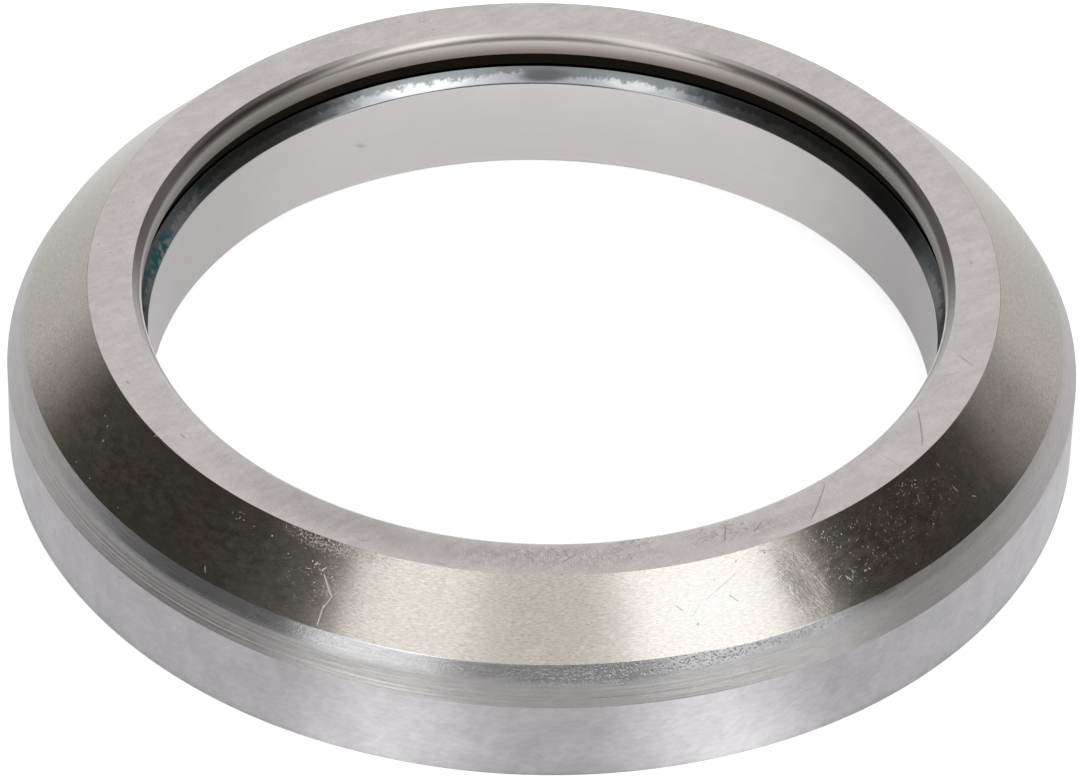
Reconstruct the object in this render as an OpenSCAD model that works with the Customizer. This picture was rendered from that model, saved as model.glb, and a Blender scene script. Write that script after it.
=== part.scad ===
// Headset bearing: a sealed angular contact cartridge for a bicycle steerer.
// It lies on its lower face with its axis along +Z and its outer seat cone upwards.
// The outer ring stays still, and the inner ring turns on one row of caged balls.

/* [Rings] */
// Diameter of the plain outer cylinder
outer_d = 41; // [40.9:0.05:41.4]
// Diameter of the bore
bore_d = 30.15; // [29.9:0.05:30.2]
// Height of the outer ring
height = 7; // [6.9:0.05:7.2]

/* [Outer seat] */
// Slope of the ground seat cone, measured from the axis
seat_angle = 45; // [42:1:48]
// Diameter where the seat cone meets the top face
top_face_d = 34.75; // [34.5:0.05:34.9]
// Diameter where the seat cone meets the turned band
seat_low_d = 39.34; // [39.1:0.02:39.5]
// Height at which the outer cylinder ends and the turned band starts
band_z = 3.34; // [3.0:0.02:3.6]
// Rounding at the foot of the outer cylinder
foot_round = 0.1; // [0.1:0.05:0.4]

/* [Upper lip] */
// Inner diameter of the lip that overhangs the inner ring
lip_d = 30.66; // [30.56:0.02:30.9]
// Height of the lip wall
lip_h = 1.04; // [0.9:0.02:1.1]
// Rounding along the lip's top edge
lip_round = 0.3; // [0.1:0.05:0.5]

/* [Inner ring] */
// Height of the inner ring's top edge
inner_top_z = 5.21; // [5.15:0.01:5.23]
// Width of the bore's upper chamfer
top_chamfer = 0.5; // [0.3:0.05:0.55]
// Height at which the crown race seat cuts into the bore
crown_seat_z = 1.05; // [0.8:0.05:1.3]
// Recess of the inner ring's lower face
lower_recess = 0.1; // [0.05:0.01:0.2]

/* [Balls] */
// Diameter of one ball, an eighth of an inch
ball_d = 3.175; // [3.1:0.025:3.175]
// Number of balls
ball_count = 26; // [20:1:27]
// Diameter of the circle through the ball centres
pitch_d = 35.1; // [35.0:0.02:35.1]
// Height of the ball centres
ball_z = 3.1; // [3.05:0.01:3.1]
// Running gap between a ball and either raceway
race_gap = 0.04; // [0.03:0.01:0.05]

/* [Cage] */
// Thickness of the cage across the contact line
cage_wall = 1.5; // [1.0:0.1:1.5]
// Gap between a ball and its pocket
pocket_gap = 0.06; // [0.04:0.01:0.08]
// Gap between the cage and the ring walls
cage_gap = 0.115; // [0.08:0.005:0.15]

/* [Seals] */
// Running gap between a seal's lip and the inner ring
seal_gap = 0.06; // [0.04:0.01:0.08]
// Diameter of the visible inner face of the upper seal
seal_face_d = 31.28; // [31.2:0.02:31.34]

/* [Hidden] */
$fn = 180;
outer_r = outer_d / 2;
bore_r = bore_d / 2;
pitch_r = pitch_d / 2;
ball_r = ball_d / 2;
race_r = ball_r + race_gap;
lip_r = lip_d / 2;
lip_z = height - lip_h;
top_face_r = top_face_d / 2;
seat_low_r = seat_low_d / 2;
seat_low_z = height - (seat_low_r - top_face_r) / tan(seat_angle);

// Straight walls beside the raceways, just inside the equator of the balls
wall_inset = 0.0225;
outer_wall_r = pitch_r + race_r - wall_inset;
inner_wall_r = pitch_r - race_r + wall_inset;
// Ends of each raceway, as angles from the outward radius
outer_race_ends = [100, -10];
inner_race_ends = [280, 170];
// A profile dips to this share of the race radius before the race is cut
race_dip = 0.8;
// Distance from a ball centre to the end of the straight wall
wall_run = 0.5;

// Small flats that break the sharp edges
edge_break = 0.15;

// Groove under the lip, and the ledge below it, that hold the upper seal
upper_groove_r = 16.95;
upper_ledge_r = 16.75;
upper_ledge_z = 5.25;
upper_ledge_h = 0.25;

// Groove at the foot of the outer ring that holds the lower seal, and its open mouth
lower_groove_cut = 0.45;
lower_mouth_cut = 0.2;
lower_groove_r = outer_wall_r + lower_groove_cut;
lower_mouth_r = outer_wall_r + lower_mouth_cut;
lower_groove_z = [0.45, 1.25];

// The inner ring's lower shoulder
shoulder_r = 18.2;
shoulder_z = 1.1;
crown_seat_r = bore_r + crown_seat_z - lower_recess;

// The cage runs from above the inner wall to below the outer wall
cage_in_r = inner_wall_r + cage_gap;
cage_out_r = outer_wall_r - cage_gap;
cage_top_z = 4.88;
cage_low_z = 1.42;
// Radius plus height is constant along both of the cage's sloping faces
contact_sum = pitch_r + ball_z;
cage_half_sum = cage_wall / 2 * sqrt(2);

seal_face_r = seal_face_d / 2;
seal_foot_z = inner_top_z + seal_gap;
lower_seal_r = shoulder_r + seal_gap;
// Width of a seal's slanting edges, and of the tip that nearly touches the inner ring
seal_bevel = 0.1;
seal_tip = 0.14;

// The upper seal's web: how far it stays below the lip and above the ledge
upper_web_drop = 0.1;
upper_web_rise = 0.25;
// Where the web thickens towards the tip, measured from the visible face
upper_web_root = 0.3;
// Width of the bead under the lip, and how far the bead stands in from the ledge
upper_bead = 0.75;
upper_bead_foot = [0.33, 0.45];

// The lower seal's web: how far it stays below the groove's two walls
lower_web_drop = [0.15, 0.25];
// The lower web's taper: flat beside the outer wall, and drop and depth near the tip
lower_web_flat = 0.15;
lower_web_slope = [0.05, 0.2];

steel = [0.74, 0.73, 0.72];
seat_steel = [0.66, 0.65, 0.63];
ball_steel = [0.85, 0.85, 0.87];
nylon = [0.16, 0.17, 0.19];
rubber = [0.07, 0.07, 0.07];

function ball_name(i) = str("ball_", i < 10 ? "0" : "", i);
function ball_angle(i) = (i - 1) * 360 / ball_count;
function race_point(angle) =
    [pitch_r + race_dip * race_r * cos(angle), ball_z + race_dip * race_r * sin(angle)];

ball_names = [for (i = [1 : ball_count]) ball_name(i)];

// Section through the raceway groove, which both rings share
module race_section() {
    translate([pitch_r, ball_z]) circle(r = race_r);
}

// Section of the outer ring, with its two visible edges rounded
module outer_section() {
    polygon([
        [lower_mouth_r + edge_break, 0],
        [outer_r - foot_round, 0],
        [outer_r, foot_round],
        [outer_r, band_z],
        [seat_low_r, seat_low_z],
        [top_face_r, height],
        [lip_r + lip_round, height],
        [lip_r, height - lip_round],
        [lip_r, lip_z],
        [upper_groove_r, lip_z],
        [upper_groove_r, upper_ledge_z],
        [upper_ledge_r, upper_ledge_z],
        [upper_ledge_r, upper_ledge_z - upper_ledge_h],
        race_point(outer_race_ends[0]),
        race_point(outer_race_ends[1]),
        [outer_wall_r, ball_z - wall_run],
        [outer_wall_r, lower_groove_z[1]],
        [lower_groove_r, lower_groove_z[1]],
        [lower_groove_r, lower_groove_z[0]],
        [lower_mouth_r, lower_groove_z[0]],
        [lower_mouth_r, edge_break]
    ]);
    translate([outer_r - foot_round, foot_round]) circle(r = foot_round);
    translate([lip_r + lip_round, height - lip_round]) circle(r = lip_round);
}

// Section of the inner ring, from the crown race seat up to the slim top edge
module inner_section() {
    polygon([
        [crown_seat_r, lower_recess],
        [shoulder_r - edge_break, lower_recess],
        [shoulder_r, lower_recess + edge_break],
        [shoulder_r, shoulder_z],
        race_point(inner_race_ends[0]),
        race_point(inner_race_ends[1]),
        [inner_wall_r, ball_z + wall_run],
        [inner_wall_r, inner_top_z - edge_break],
        [inner_wall_r - edge_break, inner_top_z],
        [bore_r + top_chamfer, inner_top_z],
        [bore_r, inner_top_z - top_chamfer],
        [bore_r, crown_seat_z]
    ]);
}

module outer_ring() {
    color(seat_steel)
        rotate_extrude()
            difference() {
                outer_section();
                race_section();
            }
}

module inner_ring() {
    color(steel)
        rotate_extrude()
            difference() {
                inner_section();
                race_section();
            }
}

// A sloping ring that lies across the contact line, with one pocket for each ball
module ball_cage() {
    color(nylon)
        difference() {
            rotate_extrude()
                polygon([
                    [cage_in_r, contact_sum - cage_half_sum - cage_in_r],
                    [contact_sum - cage_half_sum - cage_low_z, cage_low_z],
                    [cage_out_r, cage_low_z],
                    [cage_out_r, contact_sum + cage_half_sum - cage_out_r],
                    [contact_sum + cage_half_sum - cage_top_z, cage_top_z],
                    [cage_in_r, cage_top_z]
                ]);
            for (i = [1 : ball_count])
                at_ball(i) sphere(r = ball_r + pocket_gap);
        }
}

module at_ball(i) {
    rotate([0, 0, ball_angle(i)]) translate([pitch_r, 0, ball_z]) children();
}

module ball(i) {
    color(ball_steel) at_ball(i) sphere(r = ball_r);
}

// A bead in the groove under the lip, and a web that ends just above the inner ring
module upper_seal() {
    web_top_z = lip_z - upper_web_drop;
    web_low_z = upper_ledge_z + upper_web_rise;
    bead_r = upper_groove_r - upper_bead;
    color(rubber)
        rotate_extrude()
            polygon([
                [upper_groove_r, upper_ledge_z],
                [upper_groove_r, lip_z],
                [bead_r, lip_z],
                [bead_r - seal_bevel, web_top_z],
                [seal_face_r + seal_bevel, web_top_z],
                [seal_face_r, web_top_z - seal_bevel],
                [seal_face_r, seal_foot_z],
                [seal_face_r + seal_tip, seal_foot_z],
                [seal_face_r + upper_web_root, web_low_z],
                [upper_ledge_r - upper_bead_foot[1], web_low_z],
                [upper_ledge_r - upper_bead_foot[0], upper_ledge_z]
            ]);
}

// A bead in the outer ring's foot groove, and a web across to the inner shoulder
module lower_seal() {
    web_low_z = lower_groove_z[0] - lower_web_drop[0];
    web_top_z = lower_groove_z[1] - lower_web_drop[1];
    color(rubber)
        rotate_extrude()
            polygon([
                [lower_groove_r, lower_groove_z[0]],
                [lower_groove_r, lower_groove_z[1]],
                [outer_wall_r, lower_groove_z[1]],
                [outer_wall_r - lower_web_flat, web_top_z],
                [lower_seal_r + lower_web_slope[1], web_top_z - lower_web_slope[0]],
                [lower_seal_r, web_top_z - lower_web_slope[1]],
                [lower_seal_r, web_low_z + seal_bevel],
                [lower_seal_r + seal_tip, web_low_z],
                [lower_mouth_r - seal_tip, web_low_z],
                [lower_mouth_r, lower_groove_z[0]]
            ]);
}

outer_ring();
inner_ring();
ball_cage();
upper_seal();
lower_seal();
for (i = [1 : ball_count])
    ball(i);
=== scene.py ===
"""Looks of a sealed headset bearing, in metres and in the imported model's own frame."""
import math

import bpy
from mathutils import Matrix, Vector


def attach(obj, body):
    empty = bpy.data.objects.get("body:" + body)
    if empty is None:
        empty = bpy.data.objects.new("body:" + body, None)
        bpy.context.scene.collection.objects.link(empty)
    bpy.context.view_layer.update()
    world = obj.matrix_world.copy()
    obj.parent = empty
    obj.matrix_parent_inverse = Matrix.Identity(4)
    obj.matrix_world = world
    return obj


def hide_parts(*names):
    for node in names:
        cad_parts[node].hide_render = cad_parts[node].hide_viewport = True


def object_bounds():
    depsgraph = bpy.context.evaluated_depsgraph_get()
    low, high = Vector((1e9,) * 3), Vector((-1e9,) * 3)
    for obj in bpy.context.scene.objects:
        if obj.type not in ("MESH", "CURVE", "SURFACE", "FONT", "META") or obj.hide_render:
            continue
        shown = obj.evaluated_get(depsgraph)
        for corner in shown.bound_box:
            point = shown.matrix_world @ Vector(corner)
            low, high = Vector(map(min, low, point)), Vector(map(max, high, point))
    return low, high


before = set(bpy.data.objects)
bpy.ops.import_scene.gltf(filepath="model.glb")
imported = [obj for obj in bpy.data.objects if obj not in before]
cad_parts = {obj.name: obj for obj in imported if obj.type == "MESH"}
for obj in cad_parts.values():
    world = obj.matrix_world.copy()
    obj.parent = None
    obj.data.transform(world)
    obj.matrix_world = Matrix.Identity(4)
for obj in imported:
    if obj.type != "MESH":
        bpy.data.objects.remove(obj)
cad_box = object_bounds()

MM = 0.001

# Sizes in millimetres, as in the part's source
HEIGHT = cad_box[1].z / MM
OUTER_R = cad_box[1].x / MM
BORE_R = 15.075
PITCH_R = 17.55
BALL_Z = 3.1
RACE_R = 1.6275
RACE_STEPS = 16
# Ends of each ring's raceway, as angles from the outward radius
OUTER_RACE_ENDS = (100, -12)
INNER_RACE_ENDS = (285, 167)
SEAT_LOW = (19.67, 4.705)
TOP_FACE_R = 17.375
BAND_Z = 3.34
FOOT_ROUND = 0.1
# The band's lower part is turned with a few grooves, up to a slightly smoother strip
BAND_BREAK = (20.0, 4.205)
BAND_BEND = 3.0
# Distance up the band, width and depth of each groove
GROOVES = (
    (0.09, 0.07, 0.004),
    (0.25, 0.05, 0.003),
    (0.36, 0.07, 0.004),
    (0.53, 0.05, 0.003),
    (0.7, 0.06, 0.003),
)
# The ground seat lies a little off centre, so its lower edge runs down the band away from one
# azimuth: the azimuth, the span of degrees away from it, and the furthest run
SEAT_RUN_OUT = (-102, 20, 125, 0.5)
# The grooves fade out over a span of degrees from the same azimuth
GROOVE_FADE = (10, 60)
LIP_R = 15.33
LIP_Z = 5.96
LIP_ROUND = 0.45
# Width and depth of the slope that breaks the lip's top edge, before it is rounded
LIP_BREAK = (0.34, 0.2)
INNER_TOP_Z = 5.21
TOP_CHAMFER = 0.5
CHAMFER_ROUND = 0.15
CROWN_SEAT_Z = 1.05
LOWER_RECESS = 0.1
SHOULDER_R = 18.2
SHOULDER_Z = 1.1
OUTER_WALL_R = 19.155
INNER_WALL_R = 15.945
WALL_RUN = 0.5
EDGE_BREAK = 0.15
UPPER_GROOVE_R = 16.95
UPPER_LEDGE_R = 16.75
UPPER_LEDGE_Z = 5.25
UPPER_LEDGE_FOOT_Z = 5.0
LOWER_GROOVE_R = 19.605
LOWER_GROOVE_Z = (0.45, 1.25)
LOWER_MOUTH_R = 19.355
SEAL_FACE_R = 15.64
SEAL_FOOT_Z = 5.27
LOWER_SEAL_R = 18.26
# Width of a seal's slanting edges, and of the tip that nearly touches the inner ring
SEAL_BEVEL = 0.1
SEAL_TIP = 0.14
# The upper seal's web stays below the lip and above the ledge, and thickens from its root
UPPER_WEB_DROP = 0.1
UPPER_WEB_RISE = 0.25
UPPER_WEB_ROOT = 0.3
UPPER_BEAD = 0.75
UPPER_BEAD_FOOT = (0.33, 0.45)
# The lower seal's web stays inside its groove's two walls, and tapers from a flat to its tip
LOWER_WEB_DROP = (0.15, 0.25)
LOWER_WEB_FLAT = 0.15
LOWER_WEB_SLOPE = (0.05, 0.2)

# Edge roundings that the light catches
FINE = 0.035
SOFT = 0.08
SEAL_ROUND = 0.1
# Steps in a rounding's arc, and segments round the rings and the seals
ARC_STEPS = 4
RING_SEGMENTS = 480
SEAL_SEGMENTS = 360

# The photograph's camera, found by fitting circles of the bearing to it
PHOTO_WIDTH = 1080
FOCAL_PX = 7107
SENSOR_MM = 36.0
CAMERA_DISTANCE = 0.27507
CAMERA_ELEVATION = math.radians(39.853)
CAMERA_PAN = math.radians(0.01)
CAMERA_TILT = math.radians(0.222)
CAMERA_ROLL = math.radians(-1.46)
CAMERA_CLIP = (0.01, 20)


def make_camera():
    """A long lens that looks down on the bearing's front."""
    ahead = Vector((0, math.cos(CAMERA_ELEVATION), -math.sin(CAMERA_ELEVATION)))
    right = Vector((1, 0, 0))
    up = Vector((0, math.sin(CAMERA_ELEVATION), math.cos(CAMERA_ELEVATION)))
    place = -ahead * CAMERA_DISTANCE
    pan = Matrix.Rotation(CAMERA_PAN, 3, up)
    ahead, right = pan @ ahead, pan @ right
    tilt = Matrix.Rotation(CAMERA_TILT, 3, right)
    ahead, up = tilt @ ahead, tilt @ up
    roll = Matrix.Rotation(CAMERA_ROLL, 3, ahead)
    right, up = roll @ right, roll @ up
    data = bpy.data.cameras.new("photo_camera")
    data.sensor_fit = "HORIZONTAL"
    data.sensor_width = SENSOR_MM
    data.lens = FOCAL_PX / PHOTO_WIDTH * SENSOR_MM
    data.clip_start, data.clip_end = CAMERA_CLIP
    camera = bpy.data.objects.new("photo_camera", data)
    turn = Matrix((right, up, -ahead)).transposed().to_4x4()
    camera.matrix_world = Matrix.Translation(place) @ turn
    bpy.context.collection.objects.link(camera)
    bpy.context.scene.camera = camera


def node(tree, kind, inputs=None, **settings):
    """Adds one shader node, sets its options, and links or sets its inputs."""
    made = tree.nodes.new("ShaderNode" + kind)
    for name, value in settings.items():
        setattr(made, name, value)
    for key, value in (inputs or {}).items():
        if isinstance(value, bpy.types.NodeSocket):
            tree.links.new(value, made.inputs[key])
        else:
            made.inputs[key].default_value = value
    return made


def math_node(tree, operation, first, second=0.0, third=0.0, clamp=False):
    """The result of one operation on numbers or sockets."""
    inputs = {0: first, 1: second, 2: third}
    return node(tree, "Math", inputs, operation=operation, use_clamp=clamp).outputs[0]


def times(tree, first, second):
    return math_node(tree, "MULTIPLY", first, second)


def plus(tree, first, second):
    return math_node(tree, "ADD", first, second)


def minus(tree, first, second):
    return math_node(tree, "SUBTRACT", first, second)


def ramp(tree, value, low, high, start=0.0, end=1.0):
    """Maps value from low..high to start..end, smoothly and held at both ends."""
    inputs = {0: value, 1: low, 2: high, 3: start, 4: end}
    return node(tree, "MapRange", inputs, interpolation_type="SMOOTHSTEP").outputs[0]


def rgba(colour):
    """Three plain numbers with the fourth that a socket needs, or a socket as it is."""
    return (*colour, 1) if isinstance(colour, tuple) else colour


def mix(tree, share, first, second):
    """Blends two colours, each a socket or three plain numbers."""
    inputs = {0: share, 6: rgba(first), 7: rgba(second)}
    return node(tree, "Mix", inputs, data_type="RGBA").outputs[2]


def new_material(name, colour, metallic, roughness):
    """A material with its Principled shader, whose constant numbers sit on its own sockets."""
    material = bpy.data.materials.new(name)
    material.use_nodes = True
    shader = material.node_tree.nodes["Principled BSDF"]
    shader.inputs["Base Color"].default_value = (*colour, 1)
    shader.inputs["Metallic"].default_value = metallic
    shader.inputs["Roughness"].default_value = roughness
    return material, material.node_tree, shader


STEEL = (0.5, 0.475, 0.468)
QUARTER_TURN = 0.25


def ground_steel(name, roughness, stretch, colour=STEEL):
    """Steel whose reflections are stretched across the grinding marks round the axis."""
    material, tree, shader = new_material(name, colour, 1.0, roughness)
    shader.inputs["Anisotropic"].default_value = stretch
    shader.inputs["Anisotropic Rotation"].default_value = QUARTER_TURN
    made = node(tree, "Tangent", direction_type="RADIAL", axis="Z")
    tree.links.new(made.outputs[0], shader.inputs["Tangent"])
    return material, tree, shader


def position_mm(tree):
    """The point on the surface, in millimetres."""
    inputs = {0: node(tree, "TexCoord").outputs["Object"], "Scale": 1 / MM}
    return node(tree, "VectorMath", inputs, operation="SCALE").outputs[0]


def axes(tree, vector):
    """The vector's x, y and z."""
    return node(tree, "SeparateXYZ", {0: vector}).outputs


def axis_distance(tree, x, y):
    return math_node(tree, "SQRT", plus(tree, times(tree, x, x), times(tree, y, y)))


def turned_position(tree):
    """Azimuth in degrees from -180 to 180, radius and height in millimetres."""
    x, y, z = axes(tree, position_mm(tree))
    azimuth = times(tree, math_node(tree, "ARCTAN2", y, x), 180 / math.pi)
    return azimuth, axis_distance(tree, x, y), z


def noise(tree, where, scale, detail=2.0, roughness=0.5):
    inputs = {"Vector": where, "Scale": scale, "Detail": detail, "Roughness": roughness}
    return node(tree, "TexNoise", inputs).outputs["Fac"]


# Share of height plus radius in the grain's third coordinate
GRAIN_SKEW = 0.37


def grain(tree, along, across, detail=2.0, roughness=0.5):
    """Noise that is drawn out round the axis: along is cells per millimetre of the way round,
    and across is cells per millimetre of radius and of height."""
    x, y, z = axes(tree, position_mm(tree))
    radius = axis_distance(tree, x, y)
    away = math_node(tree, "DIVIDE", PITCH_R * along, radius)
    climb = times(tree, minus(tree, z, radius), across)
    sink = times(tree, plus(tree, z, radius), across)
    made = node(tree, "CombineXYZ", {
        0: times(tree, x, away),
        1: times(tree, y, away),
        2: plus(tree, climb, times(tree, sink, GRAIN_SKEW)),
    })
    return noise(tree, made.outputs[0], 1.0, detail, roughness)


def mapped(tree, where, offset=(0, 0, 0), turn=(0, 0, 0), size=(1, 1, 1)):
    """Coordinates measured from a frame that is moved, turned and stretched."""
    angles = tuple(math.radians(angle) for angle in turn)
    inputs = {"Vector": where, "Location": offset, "Rotation": angles, "Scale": size}
    return node(tree, "Mapping", inputs, vector_type="TEXTURE").outputs[0]


def strongest(tree, *masks):
    """The highest of several masks."""
    total = masks[0]
    for mask in masks[1:]:
        total = math_node(tree, "MAXIMUM", total, mask)
    return total


def summed(tree, *layers):
    """Adds up (mask, amount) layers."""
    total = 0.0
    for mask, amount in layers:
        total = math_node(tree, "MULTIPLY_ADD", mask, amount, total)
    return total


def summed_columns(tree, *rows):
    """Adds up each column of a table, whose rows are a mask and its amounts."""
    totals = []
    for column in range(1, len(rows[0])):
        layers = [(row[0], row[column]) for row in rows if row[column]]
        totals.append(summed(tree, *layers))
    return totals


def marks(tree, flat, radius, strokes, blur=0.5):
    """Tapered strokes at chosen places on an unrolled surface. Each is given by its start and
    its end, as azimuth in degrees and distance up the surface, and its width in millimetres."""
    masks = []
    for start, start_up, end, end_up, width in strokes:
        first = Vector((math.radians(start) * radius, start_up, 0))
        last = Vector((math.radians(end) * radius, end_up, 0))
        middle, run = (first + last) / 2, last - first
        size = (run.length / 2 + width / 2, width / 2, 1)
        turn = (0, 0, math.degrees(math.atan2(run.y, run.x)))
        place = mapped(tree, flat, middle, turn, size)
        away = node(tree, "VectorMath", {0: place}, operation="LENGTH").outputs["Value"]
        masks.append(ramp(tree, away, 1 - blur, 1, 1, 0))
    return strongest(tree, *masks)


def unrolled_surface(tree, radius, slope, corner):
    """The turned surface laid flat: x runs round it, and y up it from a corner of the section."""
    azimuth, far, height = turned_position(tree)
    rise = times(tree, minus(tree, height, corner[1]), slope[1])
    reach = times(tree, minus(tree, far, corner[0]), slope[0])
    made = node(tree, "CombineXYZ", {
        0: times(tree, azimuth, math.radians(radius)),
        1: plus(tree, rise, reach),
    })
    return made.outputs[0]


# Sets of hairlines are shifted by their own length, width and turn, to tell their noise apart
HAIR_SHIFT = (3.1, 7.7, 0.37)
HAIR_DEPTH = 0.6
HAIR_EDGE = 0.05


def hairlines(tree, where, turn, length, width, level):
    """Thin straight scratches in one direction, where drawn-out noise passes a level."""
    shift = (length * HAIR_SHIFT[0], width * HAIR_SHIFT[1], turn * HAIR_SHIFT[2])
    drawn = mapped(tree, where, shift, (0, 0, turn), (length, width, HAIR_DEPTH))
    return ramp(tree, noise(tree, drawn, 1, 0), level, level + HAIR_EDGE)


def crossed_hairs(tree, where, sets):
    """Several sets of hairlines, each with its turn, length, width and level."""
    return strongest(tree, *(hairlines(tree, where, *one_set) for one_set in sets))


# How far a cell's value passes the level, from and to, and how far its speck grows meanwhile
SPECK_GROWTH = (0.0, 0.25, 0.5, 1.15)


def specks(tree, where, spacing, size, level):
    """Small dots of many sizes, one in each cell whose random value passes a level."""
    cells = node(tree, "TexVoronoi", {"Vector": where, "Scale": 1 / spacing})
    above = minus(tree, cells.outputs["Color"], level)
    growth = ramp(tree, above, *SPECK_GROWTH)
    away = math_node(tree, "DIVIDE", cells.outputs["Distance"], growth)
    reach = size / spacing
    dot = ramp(tree, away, reach / 2, reach, 1, 0)
    return times(tree, dot, math_node(tree, "GREATER_THAN", above, 0.0))


def bump(tree, shader, height_mm):
    """Relief from a height in millimetres."""
    made = node(tree, "Bump", {"Height": height_mm, "Distance": MM, "Strength": 1.0})
    tree.links.new(made.outputs[0], shader.inputs["Normal"])


def tint(tree, shader, share, first, second):
    """Base colour between two colours, by a share from 0 to 1."""
    tree.links.new(mix(tree, share, first, second), shader.inputs["Base Color"])


def layered(tree, shader, tones, *rows):
    """Adds up a table of layers: a mask, its part in the colour's share between two tones, and
    its part in the relief in millimetres."""
    share, relief = summed_columns(tree, *rows)
    tint(tree, shader, share, *tones)
    bump(tree, shader, relief)


# Strokes on the seat cone, as azimuth in degrees and millimetres up the cone
CONE_STROKES = (
    (-115, 1.98, -113.1, 1.22, 0.09),
    (-113.1, 1.34, -113.8, 0.74, 0.09),
    (-113.8, 0.9, -113.8, 0.1, 0.09),
)
CONE_NICKS = (
    (-128.9, 0.48, -128.4, 0.22, 0.05),
    (-62.8, 3.06, -60, 2.86, 0.05),
    (-60.3, 2.88, -58, 2.5, 0.05),
    (-59.2, 1.82, -57.9, 0.45, 0.05),
    (-58.2, 2.1, -56.6, 1.2, 0.06),
    (-57.4, 1.45, -56.3, 0.6, 0.04),
    (-53.4, 1.05, -52.9, 0.8, 0.06),
    (-34.2, 1.6, -33.9, 1.25, 0.06),
    (-32.6, 0.78, -32, 0.62, 0.06),
    (-34.2, 2.62, -34.1, 2.46, 0.08),
)
CONE_HAIRLINES = (
    (-65.3, 2.62, -71.1, 1.7, 0.03),
    (-71.1, 1.7, -72.5, 1.25, 0.03),
    (-74, 1.8, -73.2, 1.55, 0.04),
    (-67.6, 1.8, -66.6, 1.45, 0.04),
)
# Patches of the cone that carry most of the specks, and wider ones with fewer
CONE_SPECK_PATCHES = (
    (-124.5, 3, -106, 2.98, 1.1),
    (-117.2, 2.5, -112.5, 1.6, 1.3),
    (-57.5, 2.95, -52, 2.75, 1.1),
    (-54.5, 1.1, -50, 0.85, 1.2),
    (-42.5, 2.95, -38, 2.45, 1),
    (-129, 2.62, -125.4, 2.6, 0.7),
)
# Where the cone is gritty along its top edge
CONE_GRITTY = ((-124, 3.05, -105.5, 3.05, 0.9),)
CONE_SPARSE_PATCHES = (
    (-119, 2.1, -107, 1.6, 3.4),
    (-62, 1.75, -30, 1.75, 3.6),
)
# Where short hairs cover the cone
CONE_HATCHED = ((-59.6, 2.4, -57.9, 0.5, 1.9),)
# Where the oil film on the cone is mottled
CONE_MOTTLED = (
    (-62, 1.6, -34, 1.6, 4.4),
    (-162, 1.6, -112, 1.6, 4.4),
)
# Where the cone is a little browner, where it is rosy, and where it is painted paler and cooler where the
# right highlight falls
CONE_BROWNER = ((-94, 1.6, -83, 1.6, 5),)
CONE_ROSY = (
    (-27.5, 1.7, -18, 1.5, 3.8),
    (-164.5, 1.6, -158.5, 1.6, 3.8),
)
CONE_PALE_HIGHLIGHT = ((-78, 1.6, -62, 1.6, 5),)
CONE_R = 18.5
CONE_SLOPE = (0, math.sqrt(2))
# Sets of hairlines on the cone: turn in degrees, length, width, and the level noise has to pass
CONE_NICK_HAIRS = ((112, 0.9, 0.045, 0.6), (128, 0.7, 0.045, 0.6), (80, 0.5, 0.045, 0.6))
CONE_GLINT_HAIRS = ((118, 0.8, 0.045, 0.6), (98, 0.6, 0.045, 0.6), (140, 0.5, 0.045, 0.6))
CONE_TICK_HAIRS = ((75, 0.2, 0.05, 0.785), (130, 0.2, 0.05, 0.785), (20, 0.2, 0.05, 0.785))
CONE_SCUFFS = (78, 0.7, 0.03, 0.76)
# The dark and bright end of each tone of the cone
CONE_PLAIN_TONES = ((0.36, 0.342, 0.312), (0.65, 0.612, 0.566))
CONE_BROWNER_TONES = ((0.36, 0.33, 0.288), (0.65, 0.592, 0.522))
CONE_ROSY_TONES = ((0.4, 0.352, 0.335), (0.7, 0.62, 0.6))
CONE_PALE_HIGHLIGHT_TONES = ((0.42, 0.411, 0.4), (0.58, 0.567, 0.55))


def cone_specks(tree, where, patches, sparse):
    """Small specks all over the cone, which crowd in its patches."""
    crowd = summed(tree, (patches, -0.32), (sparse, -0.09), (1.0, 1.0))
    skewed = mapped(tree, where, (5, 3, 1), (20, 35, 50), (1, 1, 2.2))
    return strongest(tree, specks(tree, where, 0.1, 0.034, crowd), specks(tree, skewed, 0.17, 0.05, crowd))


def cone_film(tree, flat):
    """Where oil dims the cone, and the mottled film inside it."""
    dim = marks(tree, flat, CONE_R, CONE_MOTTLED, 0.9)
    mottle = noise(tree, mapped(tree, flat, (1, 2, 3), (0, 0, 8), (0.55, 0.3, 1)), 1.0, 4.0, 0.7)
    return dim, times(tree, dim, ramp(tree, mottle, 0.36, 0.66))


def cone_colour(tree, flat, cloud, share):
    """Each tone of the cone, from its dark to its bright end, in the tone's own places."""
    browner_patch = times(tree, marks(tree, flat, CONE_R, CONE_BROWNER, 0.95), plus(tree, cloud, 0.4))
    rosy = times(tree, marks(tree, flat, CONE_R, CONE_ROSY, 0.9), ramp(tree, cloud, 0.4, 0.6))
    # A paler tint where the right highlight falls: painted highlight colour
    pale = marks(tree, flat, CONE_R, CONE_PALE_HIGHLIGHT, 0.95)
    colour = mix(tree, share, *CONE_PLAIN_TONES)
    for mask, tones in ((browner_patch, CONE_BROWNER_TONES), (rosy, CONE_ROSY_TONES), (pale, CONE_PALE_HIGHLIGHT_TONES)):
        colour = mix(tree, mask, colour, mix(tree, share, *tones))
    return colour


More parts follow.
